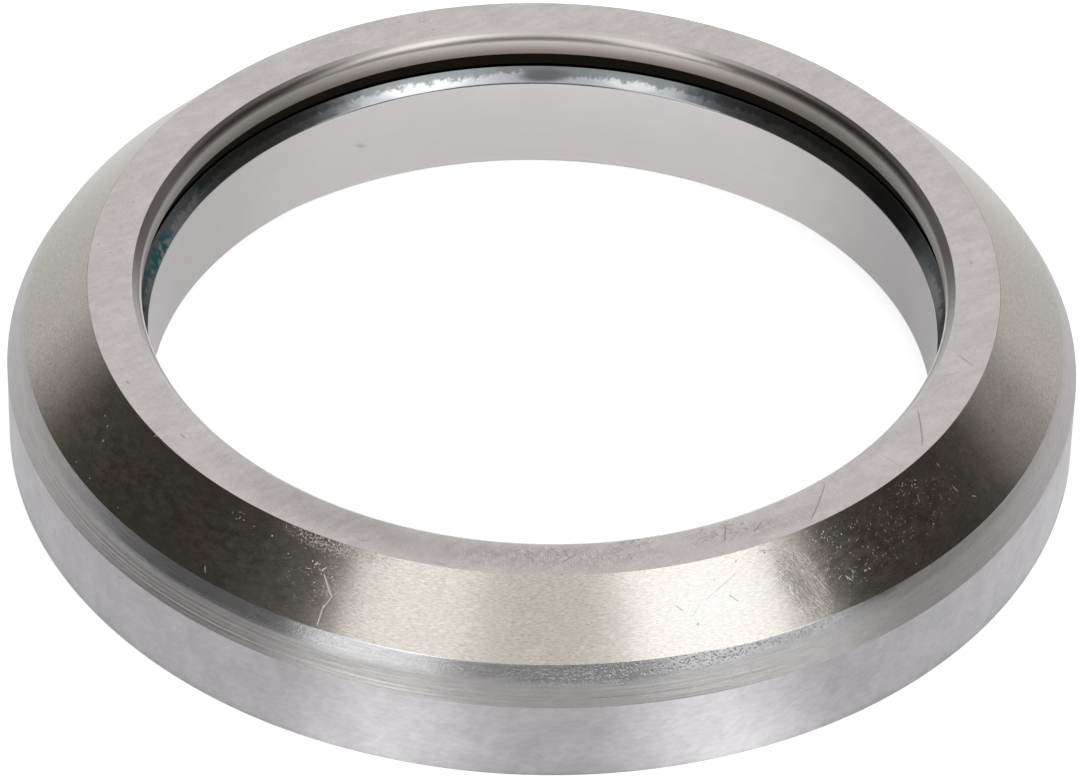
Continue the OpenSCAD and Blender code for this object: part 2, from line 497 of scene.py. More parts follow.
def seat_cone_material():
    """A ground cone under a thin film of oil, with specks, nicks and scratches."""
    material, tree, shader = ground_steel("ground_seat_cone", 0.22, 0.6)
    where = position_mm(tree)
    flat = unrolled_surface(tree, CONE_R, CONE_SLOPE, SEAT_LOW)
    flecks = grain(tree, 6.0, 20.0, 2.0, 0.6)
    cloud = noise(tree, where, 1.3, 4.0, 0.6)
    strokes = marks(tree, flat, CONE_R, CONE_STROKES)
    faint = marks(tree, flat, CONE_R, CONE_NICKS)
    threads = marks(tree, flat, CONE_R, CONE_HAIRLINES)
    patches = marks(tree, flat, CONE_R, CONE_SPECK_PATCHES, 0.9)
    sparse = marks(tree, flat, CONE_R, CONE_SPARSE_PATCHES, 0.7)
    grit = times(tree, marks(tree, flat, CONE_R, CONE_GRITTY, 0.9),
                 ramp(tree, noise(tree, where, 13.0, 3.0, 0.7), 0.52, 0.66))
    many = cone_specks(tree, where, patches, sparse)
    few = specks(tree, where, 0.5, 0.05, 0.6)
    hatched = marks(tree, flat, CONE_R, CONE_HATCHED, 0.9)
    nicks = times(tree, hatched, crossed_hairs(tree, flat, CONE_NICK_HAIRS))
    glints = times(tree, hatched, crossed_hairs(tree, flat, CONE_GLINT_HAIRS))
    gathered = strongest(tree, patches, times(tree, sparse, 0.4))
    ticks = times(tree, gathered, crossed_hairs(tree, flat, CONE_TICK_HAIRS))
    dim, film = cone_film(tree, flat)
    scuffs = times(tree, hairlines(tree, where, *CONE_SCUFFS), cloud)
    # Each layer's part in the colour's share, the roughness and the relief in millimetres
    share, roughness, relief = summed_columns(
        tree,
        (flecks, 1.7, 0, 0.0004),
        (cloud, 0.25, 0.07, 0),
        (strokes, 0.8, 0.5, -0.01),
        (faint, 0.2, 0.15, -0.004),
        (threads, 0, 0, -0.004),
        (many, 0.15, 0.16, 0.005),
        (few, 0, 0.1, 0.006),
        (film, 0.8, 0, 0),
        (dim, -0.34, 0, 0),
        (grit, 0.1, 0.13, 0.005),
        (hatched, 0.05, 0.02, 0),
        (nicks, -0.8, 0.12, -0.006),
        (glints, 0.8, 0.16, 0.004),
        (ticks, 0.15, 0.22, 0.004),
        (scuffs, 0, 0.02, -0.0008),
        (1.0, -0.475, 0.185, 0),
    )
    tree.links.new(cone_colour(tree, flat, cloud, share), shader.inputs["Base Color"])
    tree.links.new(roughness, shader.inputs["Roughness"])
    bump(tree, shader, relief)
    return material


# Strokes on the top face, as azimuth in degrees and millimetres out from the lip
TOP_STROKES = (
    (-47.6, 0.35, -55.2, 1.98, 0.06),
    (-27.1, 0.4, -34.7, 1.9, 0.06),
    (-14.6, 0.75, -16.8, 1.65, 0.05),
    (-20, 0.65, -18.1, 1.25, 0.05),
    (-38.7, 0.75, -38.7, 1.9, 0.03),
    (-66, 1.45, -64.4, 0.5, 0.06),
    (-62, 1.4, -59.6, 0.9, 0.05),
    (-86.8, 1.35, -85.4, 0.95, 0.07),
    (-112.6, 1.62, -111.2, 1.56, 0.1),
    (-102.9, 1.88, -100.8, 1.92, 0.08),
    (-143.2, 1.3, -142.2, 1.27, 0.1),
    (-155.8, 1.65, -155.2, 1.62, 0.1),
)
# Where the top face is a little darker
TOP_SHADE = ((-142, 0.95, -92, 0.9, 2.6),)
# Where short hairs cover the top face
TOP_WORN = (
    (-106, 1.1, -70, 1.2, 2),
    (-66, 1.2, -50, 1.4, 1.2),
)
# Where small dark nicks crowd along its inner edge
TOP_NICKED = (
    (-97, 1.05, -84, 0.85, 1.2),
    (-82, 0.55, -73, 0.5, 0.8),
    (-71, 0.9, -60, 0.8, 1.2),
)
# Sets of hairlines all over the face, on its worn parts and on its nicked parts
TOP_FINE_HAIRS = (
    (12, 1.4, 0.035, 0.64),
    (63, 1.1, 0.03, 0.64),
    (118, 1.6, 0.035, 0.65),
    (155, 0.9, 0.03, 0.65),
)
TOP_WORN_HAIRS = ((35, 0.6, 0.04, 0.6), (95, 0.5, 0.035, 0.6), (140, 0.45, 0.04, 0.6))
TOP_NICK_HAIRS = ((35, 0.45, 0.05, 0.68), (-30, 0.35, 0.05, 0.68), (70, 0.25, 0.05, 0.68))
TOP_TONES = ((0.43, 0.408, 0.4), (0.745, 0.708, 0.695))


def top_face_material():
    """A dull ground face, with fine hairs, dark nicks and pits, and a few long scratches."""
    material, tree, shader = new_material("ground_top_face", STEEL, 1.0, 0.42)
    where = position_mm(tree)
    flat = unrolled_surface(tree, TOP_FACE_R, (1, 0), (LIP_R, HEIGHT))
    fine = ramp(tree, noise(tree, where, 6.0, 3.0, 0.6), 0.33, 0.67)
    cloud = ramp(tree, noise(tree, where, 0.8, 4.0, 0.6), 0.33, 0.67)
    strokes = marks(tree, flat, TOP_FACE_R, TOP_STROKES)
    shade = marks(tree, flat, TOP_FACE_R, TOP_SHADE, 0.9)
    lines = crossed_hairs(tree, where, TOP_FINE_HAIRS)
    worn = marks(tree, flat, TOP_FACE_R, TOP_WORN, 0.8)
    hairs = times(tree, worn, crossed_hairs(tree, where, TOP_WORN_HAIRS))
    nicked = marks(tree, flat, TOP_FACE_R, TOP_NICKED, 0.9)
    nicks = times(tree, nicked, crossed_hairs(tree, flat, TOP_NICK_HAIRS))
    pits = strongest(tree, specks(tree, where, 0.5, 0.06, 0.62), specks(tree, where, 0.24, 0.04, 0.66))
    skewed = mapped(tree, where, (3, 5, 7), (0, 0, 35), (1.3, 0.35, 0.6))
    smears = ramp(tree, noise(tree, skewed, 1.0, 2.0), 0.35, 0.7)
    layered(
        tree, shader, TOP_TONES,
        (cloud, 0.14, 0),
        (fine, 0.12, 0.0008),
        (lines, -0.15, -0.0014),
        (pits, -0.6, -0.008),
        (strokes, -0.6, -0.008),
        (shade, -0.4, 0),
        (smears, 0.14, 0),
        (hairs, -0.28, -0.005),
        (nicks, -0.8, -0.006),
        (1.0, 0.42, 0),
    )
    return material


# Strokes on the turned band, as azimuth in degrees and millimetres up the band
BAND_STROKES = (
    (-98.6, 1.4, -97.4, 1.25, 0.05),
    (-101.8, 0.98, -101.2, 0.9, 0.07),
    (-82, 0.98, -81.2, 0.95, 0.06),
    (-21.5, 0.95, -20.6, 0.88, 0.08),
)
# Thin dark lines, and painted highlights: bright lines where an edge or a ridge would shine
BAND_DARK_LINES = (
    (-86.5, 0.03, -60, 0.03, 0.05),
    (-85.5, 0.36, -79, 0.36, 0.04),
)
BAND_PAINTED_HIGHLIGHTS = (
    (-75, 1.58, -55, 1.52, 0.14),
    (-114.5, 1.59, -84, 1.59, 0.1),
    (-72.5, 0.87, -59, 0.87, 0.03),
    (-112, 0.17, -98, 0.17, 0.05),
    (-113, 0.31, -99, 0.31, 0.05),
    (-111, 0.62, -100, 0.62, 0.04),
)
BAND_UP = (0, 1.171)
# Where dark pits show on the band
PITTED_PATCHES = (
    (-98, 1.32, -52, 1.32, 0.75),
    (-94, 1, -76, 1, 0.8),
)
# Where the turning lines show most, as azimuth and millimetres up the band
TURNED_PATCHES = (
    (-150, 0.45, -92, 0.5, 2.2),
    (-86, 0.4, -62, 0.4, 1.3),
)
# The smooth strip starts lower and lower from one azimuth to another, at each side of the front
STRIP_RIGHT = (-68, -30, 0.0, 1.0)
STRIP_LEFT = (-162, -136, 1, 0)
# The dark and bright end of the turned part and of the strip, and the marks' colours
TURNED_TONES = ((0.37, 0.361, 0.361), (0.78, 0.76, 0.755))
STRIP_TONES = ((0.25, 0.255, 0.265), (0.66, 0.66, 0.67))
PIT_AND_DARK_LINE_COLOUR = (0.1, 0.1, 0.105)
PAINTED_HIGHLIGHT_COLOUR = (0.95, 0.95, 0.94)


def band_strip(tree, up):
    """1 on the smooth strip under the cone and 0 below it, with a wandering edge."""
    wander = grain(tree, 0.5, 1.0)
    azimuth = turned_position(tree)[0]
    right, left = ramp(tree, azimuth, *STRIP_RIGHT), ramp(tree, azimuth, *STRIP_LEFT)
    place = summed(tree, (up, 1.0), (right, -0.75), (left, -0.6), (wander, 0.4))
    return ramp(tree, place, 0.93, 1.42)


def band_pits(tree, where, flat, mottle):
    """Dark pits, most of them in the pitted patches."""
    pitted = summed(tree, (marks(tree, flat, OUTER_R, PITTED_PATCHES, 0.7), 0.85), (1.0, 0.15))
    depth = times(tree, pitted, ramp(tree, mottle, 0.35, 0.6, 0.3, 1.0))
    dots = strongest(tree, specks(tree, where, 0.09, 0.045, 0.3), specks(tree, where, 0.2, 0.06, 0.4))
    return times(tree, depth, dots)


def turned_band_material():
    """Turning lines below, and a smoother, mottled and pitted strip under the cone, with painted
    highlights along its top edge and along some turning lines.
    """
    material, tree, shader = ground_steel("turned_band", 0.37, 0.6)
    where = position_mm(tree)
    flat = unrolled_surface(tree, OUTER_R, BAND_UP, (OUTER_R, BAND_Z))
    up = axes(tree, flat)[1]
    strip = band_strip(tree, up)
    lines = grain(tree, 0.11, 6.0, 2.0, 0.55)
    flecks = grain(tree, 1.6, 9.0)
    mottle = noise(tree, where, 11.0, 3.0, 0.65)
    strokes = marks(tree, flat, OUTER_R, BAND_STROKES)
    turned = summed(tree, (marks(tree, flat, OUTER_R, TURNED_PATCHES, 0.8), 0.88), (1.0, 0.12))
    lined = times(tree, lines, turned)
    pits = band_pits(tree, where, flat, mottle)
    # Painted highlights along the edge under the cone and along some turning lines
    painted_highlights = marks(tree, flat, OUTER_R, BAND_PAINTED_HIGHLIGHTS, 0.9)
    dark_lines = marks(tree, flat, OUTER_R, BAND_DARK_LINES, 0.9)
    # Each layer's part in the turned part's share, in the strip's share and in the relief
    turned_share, strip_share, relief = summed_columns(
        tree,
        (lined, 1.2, 0, 0.012),
        (turned, -0.68, 0, 0),
        (flecks, 0.45, 0.5, 0.0008),
        (mottle, 0, 0.65, 0),
        (painted_highlights, 0.5, 0, 0),
        (strokes, 0, 0, -0.01),
        (pits, 0, 0, -0.007),
        (times(tree, mottle, strip), 0, 0, 0.001),
        (1.0, 0.14, -0.05, 0),
    )
    plain = mix(tree, turned_share, *TURNED_TONES)
    smooth = mix(tree, strip_share, *STRIP_TONES)
    darker = summed(tree, (pits, 0.6), (dark_lines, 0.6))
    worn = mix(tree, darker, mix(tree, strip, plain, smooth), PIT_AND_DARK_LINE_COLOUR)
    # Painted highlight colour on the edge under the cone
    shining = times(tree, painted_highlights, ramp(tree, up, 1.2, 1.4, 0.0, 0.8))
    tree.links.new(mix(tree, shining, worn, PAINTED_HIGHLIGHT_COLOUR), shader.inputs["Base Color"])
    tree.links.new(ramp(tree, strip, 0, 1, 0.38, 0.26), shader.inputs["Roughness"])
    bump(tree, shader, relief)
    return material


# Strokes on the outer cylinder, as azimuth in degrees and height in millimetres
CYLINDER_STROKES = (
    (-90.3, 1.6, -88.3, 0.85, 0.07),
    (-115.8, 2.1, -116.6, 1.3, 0.04),
    (-32.5, 2.2, -31, 1.9, 0.07),
    (-51.8, 2.9, -51.4, 2.7, 0.06),
    (-125, 2.8, -125.6, 2.5, 0.05),
)
CYLINDER_STREAKS = (42, 0.6, 0.17, 0.5)
CYLINDER_TONES = ((0.396, 0.386, 0.402), (0.516, 0.504, 0.522))


def cylinder_material():
    """A ground cylinder with short slanting streaks."""
    material, tree, shader = ground_steel("ground_cylinder", 0.4, 0.6)
    where = position_mm(tree)
    flat = unrolled_surface(tree, OUTER_R, (0, 1), (OUTER_R, 0))
    fine = ramp(tree, grain(tree, 3.0, 4.5, 3.0, 0.6), 0.3, 0.7)
    layered(
        tree, shader, CYLINDER_TONES,
        (fine, 0.42, 0.0008),
        (ramp(tree, noise(tree, where, 0.9, 3.0), 0.3, 0.7), 0.4, 0),
        (hairlines(tree, flat, *CYLINDER_STREAKS), 0.1, 0),
        (marks(tree, flat, OUTER_R, CYLINDER_STROKES), 1.2, -0.008),
        (specks(tree, where, 0.7, 0.07, 0.6), -0.4, -0.004),
    )
    return material


# A dull spot on the bore, as azimuth and height in millimetres
BORE_SMUDGE = ((119, 2.76, 120.3, 2.95, 0.3),)
# The bore's light tone, and the darker tone of its painted side shade and its dull spot
BORE_TONES = ((0.634, 0.604, 0.603), (0.346, 0.338, 0.344))
# The painted side shade's span of millimetres to either side of the axis, and its amount at the left and
# right
BORE_SIDE_SHADE = (8.5, 15.3, 0.4, 0.68)
LIP_SIDE_SHADE = (4.0, 12.0, 0.8, 0.95)
# The lip's edge at the front, painted lit, and at the rear, painted dimmer; the foot of its wall, painted
# in shade towards the slot; and its wall and edge under the painted side shade
LIP_LIT_FRONT_EDGE = (0.92, 0.91, 0.9)
LIP_SHADED_REAR_EDGE = (0.54, 0.52, 0.5)
LIP_SHADED_WALL_FOOT = (0.2, 0.18, 0.155)
LIP_SIDE_SHADE_TONES = ((0.13, 0.118, 0.105), (0.25, 0.237, 0.225))


def painted_side_shade(tree, start, full, left, right):
    """Painted shade that deepens over a span of millimetres to the left and right of the axis."""
    x = axes(tree, position_mm(tree))[0]
    on_left = ramp(tree, x, -full, -start, left, 0.0)
    on_right = ramp(tree, x, start, full, 0.0, right)
    return plus(tree, on_left, on_right)


def lip_material():
    """Bright at the edge and duller down its wall: the front edge is painted lit, the wall is painted in
    shade towards the slot, and the sides of its rear half are painted in shade.
    """
    material, tree, shader = ground_steel("turned_lip", 0.3, 0.5)
    fine = grain(tree, 0.3, 6.0)
    y, z = axes(tree, position_mm(tree))[1:]
    rear = ramp(tree, y, -3, 3)
    # Painted shade at the sides of the rear half
    film = times(tree, painted_side_shade(tree, *LIP_SIDE_SHADE), rear)
    # Painted shade down the wall towards the slot, and a front edge painted brighter than the rear edge
    climb = ramp(tree, z, LIP_Z + 0.05, HEIGHT - LIP_BREAK[1])
    edge = mix(tree, rear, LIP_LIT_FRONT_EDGE, LIP_SHADED_REAR_EDGE)
    lit_and_shaded_wall = mix(tree, climb, LIP_SHADED_WALL_FOOT, edge)
    side_shaded = mix(tree, climb, *LIP_SIDE_SHADE_TONES)
    tint(tree, shader, summed(tree, (film, 1.0), (fine, 0.25)), lit_and_shaded_wall, side_shaded)
    bump(tree, shader, summed(tree, (fine, 0.003)))
    return material


def bore_material():
    """A ground bore with painted shade that darkens it towards both sides."""
    material, tree, shader = ground_steel("ground_bore", 0.33, 0.6)
    flat = unrolled_surface(tree, BORE_R, (0, 1), (BORE_R, 0))
    layered(
        tree, shader, BORE_TONES,
        # Painted shade towards both sides
        (painted_side_shade(tree, *BORE_SIDE_SHADE), 1.0, 0),
        (grain(tree, 0.3, 7.0), 0.15, 0.0015),
        (noise(tree, position_mm(tree), 0.5, 2.0), 0.15, 0),
        (marks(tree, flat, BORE_R, BORE_SMUDGE, 0.9), 0.6, 0),
    )
    return material


# Where grease shows teal on the inner ring's chamfer, as azimuth and millimetres up it
GREASE_PATCHES = (
    (160, 0.25, 177, 0.4, 0.9),
    (149.5, 0.5, 153.5, 0.4, 0.3),
)
# Where the chamfer was wiped clean; the first two patches lie where the lamps' highlights fall, and paint
# them brighter
WIPED_AND_HIGHLIGHT_PATCHES = (
    (73, 0.3, 82, 0.3, 0.9),
    (101, 0.3, 118, 0.3, 1.1),
    (2, 0.3, 12, 0.3, 1.2),
)
# Where the oil on the chamfer is thick and dark; the second patch, between the rear highlights, is painted
# shade
THICK_OIL_AND_SHADE = (
    (13, 0.3, 38, 0.3, 1.4),
    (87, 0.35, 94.5, 0.3, 0.7),
)
OILED_STEEL = (0.36, 0.375, 0.39)
WIPED_STEEL_AND_HIGHLIGHT = (0.5, 0.505, 0.505)
DARKER_TOP_COLOUR = (0.14, 0.155, 0.16)
THICK_OIL_AND_SHADE_COLOUR = (0.12, 0.13, 0.135)
TEAL_GREASE = (0.05, 0.18, 0.2)


def oiled_chamfer_material():
    """Steel under dark grease, wiped clean in places, with some teal grease. The wiped patches at the rear
    paint the lamps' highlights brighter, a dark patch between them paints shade, and the chamfer is darker
    towards its top edge.
    """
    material, tree, shader = new_material("oiled_chamfer", (0.4, 0.4, 0.41), 1.0, 0.2)
    where = position_mm(tree)
    flat = unrolled_surface(tree, BORE_R, (0, math.sqrt(2)), (BORE_R, INNER_TOP_Z - TOP_CHAMFER))
    up = axes(tree, flat)[1]
    creep = noise(tree, where, 1.1, 1.5, 0.5)
    ragged = noise(tree, where, 5.0, 3.0, 0.6)
    ripples = grain(tree, 0.9, 2.5, 1.0)
    # Wiped steel, where the rear patches paint the lamps' highlights brighter
    wiped_and_highlit = summed(tree, (marks(tree, flat, BORE_R, WIPED_AND_HIGHLIGHT_PATCHES, 0.9), 1.0), (creep, 0.8))
    # Darker towards the top edge, with a ragged boundary
    darker_top = ramp(tree, summed(tree, (creep, 0.5), (ragged, 0.6), (up, 1.0)), 0.82, 1.02, 0.0, 0.85)
    # Thick oil, and painted shade between the rear highlights
    thick_oil_and_shade = marks(tree, flat, BORE_R, THICK_OIL_AND_SHADE, 0.6)
    grease = times(tree, marks(tree, flat, BORE_R, GREASE_PATCHES, 0.6),
                   ramp(tree, noise(tree, where, 2.6, 3.0), 0.42, 0.55))
    colour = mix(tree, ramp(tree, wiped_and_highlit, 0.55, 1.0), OILED_STEEL, WIPED_STEEL_AND_HIGHLIGHT)
    for mask, cover in ((darker_top, DARKER_TOP_COLOUR), (thick_oil_and_shade, THICK_OIL_AND_SHADE_COLOUR), (grease, TEAL_GREASE)):
        colour = mix(tree, mask, colour, cover)
    tree.links.new(colour, shader.inputs["Base Color"])
    bump(tree, shader, summed(tree, (ripples, 0.012), (creep, 0.012)))
    return material


def race_material():
    material, tree, shader = ground_steel("honed_race", 0.15, 0.5, (0.62, 0.6, 0.58))
    fine = grain(tree, 0.3, 7.0)
    tint(tree, shader, fine, (0.52, 0.505, 0.49), (0.68, 0.66, 0.64))
    return material


def rubber_material():
    material, tree, shader = new_material("seal_rubber", (0.012, 0.011, 0.009), 0.0, 0.6)
    shader.inputs["Specular IOR Level"].default_value = 0.06
    where = position_mm(tree)
    cloud = noise(tree, where, 1.5, 3.0)
    tint(tree, shader, cloud, (0.006, 0.0045, 0.002), (0.013, 0.0105, 0.006))
    bump(tree, shader, summed(tree, (noise(tree, where, 9.0, 2.0), 0.006)))
    return material


def nylon_material():
    material, tree, shader = new_material("cage_nylon", (0.05, 0.05, 0.055), 0.0, 0.45)
    where = position_mm(tree)
    cloud = noise(tree, where, 0.8, 3.0)
    tint(tree, shader, cloud, (0.04, 0.04, 0.045), (0.07, 0.07, 0.075))
    tree.links.new(ramp(tree, cloud, 0.3, 0.7, 0.38, 0.52), shader.inputs["Roughness"])
    bump(tree, shader, summed(tree, (noise(tree, where, 12.0, 1.0), 0.003)))
    return material


BALL_HAIRS = ((20, 0.8, 0.03, 0.7), (110, 0.8, 0.03, 0.7))


def ball_material():
    """Polished steel with a few crossing hairlines."""
    material, tree, shader = new_material("ball_steel", (0.62, 0.61, 0.6), 1.0, 0.06)
    where = position_mm(tree)
    lines = crossed_hairs(tree, where, BALL_HAIRS)
    tree.links.new(ramp(tree, lines, 0, 1, 0.06, 0.18), shader.inputs["Roughness"])
    tint(tree, shader, noise(tree, where, 1.0, 2.0), (0.58, 0.57, 0.56), (0.66, 0.65, 0.64))
    return material


def race_points(first, last):
    """Points along the raceway groove, from one angle to the other."""
    points = []
    for step in range(RACE_STEPS + 1):
        angle = math.radians(first + (last - first) * step / RACE_STEPS)
        points.append((PITCH_R + RACE_R * math.cos(angle), BALL_Z + RACE_R * math.sin(angle), 0, "race"))
    return points


def smooth_step(value, low, high):
    """0 up to low, 1 from high onwards, and smooth between them."""
    share = min(max((value - low) / (high - low), 0), 1)
    return share * share * (3 - 2 * share)


def turning_grooves(azimuth):
    """Shallow grooves that the turning tool left round the lower part of the band."""
    run = unit((OUTER_R, BAND_Z), BAND_BREAK)
    level = 1 - smooth_step(wrapped(azimuth - SEAT_RUN_OUT[0]), *GROOVE_FADE)
    points = []
    for place, width, deepest in GROOVES:
        depth = deepest * level
        for along, sink in ((place - width / 2, 0), (place, depth), (place + width / 2, 0)):
            points.append((OUTER_R + run[0] * along - run[1] * sink,
                           BAND_Z + run[1] * along + run[0] * sink, 0, "band"))
    return points


def wrapped(degrees):
    """An angle brought between -180 and 180 degrees."""
    return (degrees + 180) % 360 - 180


def seat_low_corner(azimuth):
    """Where the seat cone meets the band."""
    middle, start, end, furthest = SEAT_RUN_OUT
    run = unit(SEAT_LOW, BAND_BREAK)
    slide = furthest * smooth_step(abs(wrapped(azimuth - middle)), start, end)
    return SEAT_LOW[0] + run[0] * slide, SEAT_LOW[1] + run[1] * slide


def outer_profile(azimuth):
    """Corners of the outer ring's section: radius, height, rounding, and the finish after it."""
    low, high = LOWER_GROOVE_Z
    return [
        (LOWER_MOUTH_R + EDGE_BREAK, 0, FINE, "cylinder"),
        (OUTER_R, 0, FOOT_ROUND, "cylinder"),
        (OUTER_R, BAND_Z, FINE, "band"),
        *turning_grooves(azimuth),
        (*BAND_BREAK, BAND_BEND, "band"),
        (*seat_low_corner(azimuth), FINE, "cone"),
        (TOP_FACE_R, HEIGHT, FINE, "top"),
        (LIP_R + LIP_BREAK[0], HEIGHT, FINE, "lip"),
        (LIP_R, HEIGHT - LIP_BREAK[1], LIP_ROUND, "lip"),
        (LIP_R, LIP_Z, SOFT, "race"),
        (UPPER_GROOVE_R, LIP_Z, 0, "race"),
        (UPPER_GROOVE_R, UPPER_LEDGE_Z, 0, "race"),
        (UPPER_LEDGE_R, UPPER_LEDGE_Z, 0, "race"),
        (UPPER_LEDGE_R, UPPER_LEDGE_FOOT_Z, 0, "race"),
        *race_points(*OUTER_RACE_ENDS),
        (OUTER_WALL_R, BALL_Z - WALL_RUN, 0, "race"),
        (OUTER_WALL_R, high, 0, "race"),
        (LOWER_GROOVE_R, high, 0, "race"),
        (LOWER_GROOVE_R, low, 0, "race"),
        (LOWER_MOUTH_R, low, FINE, "cylinder"),
        (LOWER_MOUTH_R, EDGE_BREAK, FINE, "cylinder"),
    ]


def inner_profile(_):
    """Corners of the inner ring's section."""
    return [
        (BORE_R + CROWN_SEAT_Z - LOWER_RECESS, LOWER_RECESS, FINE, "bore"),
        (SHOULDER_R - EDGE_BREAK, LOWER_RECESS, FINE, "bore"),
        (SHOULDER_R, LOWER_RECESS + EDGE_BREAK, FINE, "bore"),
        (SHOULDER_R, SHOULDER_Z, 0, "race"),
        *race_points(*INNER_RACE_ENDS),
        (INNER_WALL_R, BALL_Z + WALL_RUN, 0, "race"),
        (INNER_WALL_R, INNER_TOP_Z - EDGE_BREAK, FINE, "chamfer"),
        (INNER_WALL_R - EDGE_BREAK, INNER_TOP_Z, FINE, "chamfer"),
        (BORE_R + TOP_CHAMFER, INNER_TOP_Z, FINE, "chamfer"),
        (BORE_R, INNER_TOP_Z - TOP_CHAMFER, CHAMFER_ROUND, "bore"),
        (BORE_R, CROWN_SEAT_Z, FINE, "bore"),
    ]


def rubber_corners(corners):
    return [(*corner, "rubber") for corner in corners]


def upper_seal_profile(_):
    """A bead in the groove under the lip, and a web that ends just above the inner ring."""
    web_top = LIP_Z - UPPER_WEB_DROP
    web_low = UPPER_LEDGE_Z + UPPER_WEB_RISE
    bead_r = UPPER_GROOVE_R - UPPER_BEAD
    return rubber_corners([
        (UPPER_GROOVE_R, UPPER_LEDGE_Z, 0),
        (UPPER_GROOVE_R, LIP_Z, 0),
        (bead_r, LIP_Z, FINE),
        (bead_r - SEAL_BEVEL, web_top, FINE),
        (SEAL_FACE_R, web_top, SEAL_ROUND),
        (SEAL_FACE_R, SEAL_FOOT_Z, FINE),
        (SEAL_FACE_R + SEAL_TIP, SEAL_FOOT_Z, FINE),
        (SEAL_FACE_R + UPPER_WEB_ROOT, web_low, FINE),
        (UPPER_LEDGE_R - UPPER_BEAD_FOOT[1], web_low, FINE),
        (UPPER_LEDGE_R - UPPER_BEAD_FOOT[0], UPPER_LEDGE_Z, FINE),
    ])


def lower_seal_profile(_):
    """A bead in the outer ring's foot groove, and a web across to the inner shoulder."""
    low, high = LOWER_GROOVE_Z
    web_low = low - LOWER_WEB_DROP[0]
    web_top = high - LOWER_WEB_DROP[1]
    return rubber_corners([
        (LOWER_GROOVE_R, low, 0),
        (LOWER_GROOVE_R, high, 0),
        (OUTER_WALL_R, high, FINE),
        (OUTER_WALL_R - LOWER_WEB_FLAT, web_top, FINE),
        (LOWER_SEAL_R + LOWER_WEB_SLOPE[1], web_top - LOWER_WEB_SLOPE[0], FINE),
        (LOWER_SEAL_R, web_top - LOWER_WEB_SLOPE[1], FINE),
        (LOWER_SEAL_R, web_low + SEAL_BEVEL, FINE),
        (LOWER_SEAL_R + SEAL_TIP, web_low, FINE),
        (LOWER_MOUTH_R - SEAL_TIP, web_low, FINE),
        (LOWER_MOUTH_R, low, 0),
    ])


def unit(a, b):
    """The direction from one point of the section to another."""
    length = math.hypot(b[0] - a[0], b[1] - a[1])
    return (b[0] - a[0]) / length, (b[1] - a[1]) / length


def rounded(corners):
    """Turns corners into points with outward normals, a small arc at each rounded corner.
    The loop runs anticlockwise with radius to the right and height upwards."""
    points = []
    for index, (r, z, radius, finish) in enumerate(corners):
        before, after = corners[index - 1], corners[(index + 1) % len(corners)]
        in_r, in_z = unit(before, (r, z))
        on_r, on_z = unit((r, z), after)
        start = math.atan2(-in_r, in_z)
        turn = math.atan2(in_r * on_z - in_z * on_r, in_r * on_r + in_z * on_z)
        if not radius:
            middle = start + turn / 2
            points.append((r, z, math.cos(middle), math.sin(middle), finish))
            continue
        reach = abs(radius * math.tan(turn / 2))
        bulge = math.copysign(radius, turn)
        centre_r = r - in_r * reach - math.cos(start) * bulge
        centre_z = z - in_z * reach - math.sin(start) * bulge
        for step in range(ARC_STEPS + 1):
            angle = start + turn * (step / ARC_STEPS)
            out_r, out_z = math.cos(angle), math.sin(angle)
            label = finish if step * 2 > ARC_STEPS else before[3]
            points.append((centre_r + out_r * bulge, centre_z + out_z * bulge, out_r, out_z, label))
    return points


def link(made):
    bpy.context.collection.objects.link(made)


def revolve(name, profile, finishes, segments):
    """Turns a section round the axis into a smooth mesh with exact normals."""
    labels = list(finishes)
    verts, normals, faces, slots = [], [], [], []
    for turn in range(segments):
        angle = 2 * math.pi * turn / segments
        points = rounded(profile(math.degrees(angle)))
        c, s = math.cos(angle), math.sin(angle)
        for r, z, out_r, out_z, _ in points:
            verts.append((r * c * MM, r * s * MM, z * MM))
            normals.append((out_r * c, out_r * s, out_z))
    count = len(points)
    for turn in range(segments):
        here, there = turn * count, (turn + 1) % segments * count
        for index in range(count):
            follow = (index + 1) % count
            faces.append((here + index, there + index, there + follow, here + follow))
            slots.append(labels.index(points[index][4]))
    mesh = bpy.data.meshes.new(name)
    mesh.from_pydata(verts, [], faces)
    for label in labels:
        mesh.materials.append(finishes[label])
    mesh.polygons.foreach_set("material_index", slots)
    mesh.shade_smooth()
    mesh.normals_split_custom_set_from_vertices(normals)
    mesh.update()
    made = bpy.data.objects.new(name, mesh)
    link(made)
    return made


def dress_rings():
    """The rings and seals as smooth bodies of revolution with fine edges."""
    race = race_material()
    cylinder = cylinder_material()
    outer = revolve("outer_ring_finish", outer_profile, {
        "cylinder": cylinder,
        "band": turned_band_material(),
        "cone": seat_cone_material(),
        "top": top_face_material(),
        "lip": lip_material(),
        "race": race,
    }, RING_SEGMENTS)
    inner = revolve("inner_ring_finish", inner_profile, {
        "bore": bore_material(),
        "chamfer": oiled_chamfer_material(),
        "race": race,
    }, RING_SEGMENTS)
    rubber = rubber_material()
    upper = revolve("upper_seal_finish", upper_seal_profile, {"rubber": rubber}, SEAL_SEGMENTS)
    lower = revolve("lower_seal_finish", lower_seal_profile, {"rubber": rubber}, SEAL_SEGMENTS)
    for piece, replaced, body, slot in (
        (outer, "outer_ring", "outer_body", "ring_steel"),
        (inner, "inner_ring", "inner_body", "inner_steel"),
        (upper, "upper_seal", "outer_body", "seal_rubber"),
        (lower, "lower_seal", "outer_body", "seal_rubber"),
    ):
        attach(piece, body)
        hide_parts(replaced)


def dress_inside():
    """Better materials on the model's own balls and cage."""
    ball = ball_material()
    cage = nylon_material()
    for name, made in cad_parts.items():
        if name.startswith("ball_cage"):
            finish = cage
        elif name.startswith("ball_"):
            finish = ball
        else:
            continue
        for slot in made.material_slots:
            slot.material = finish


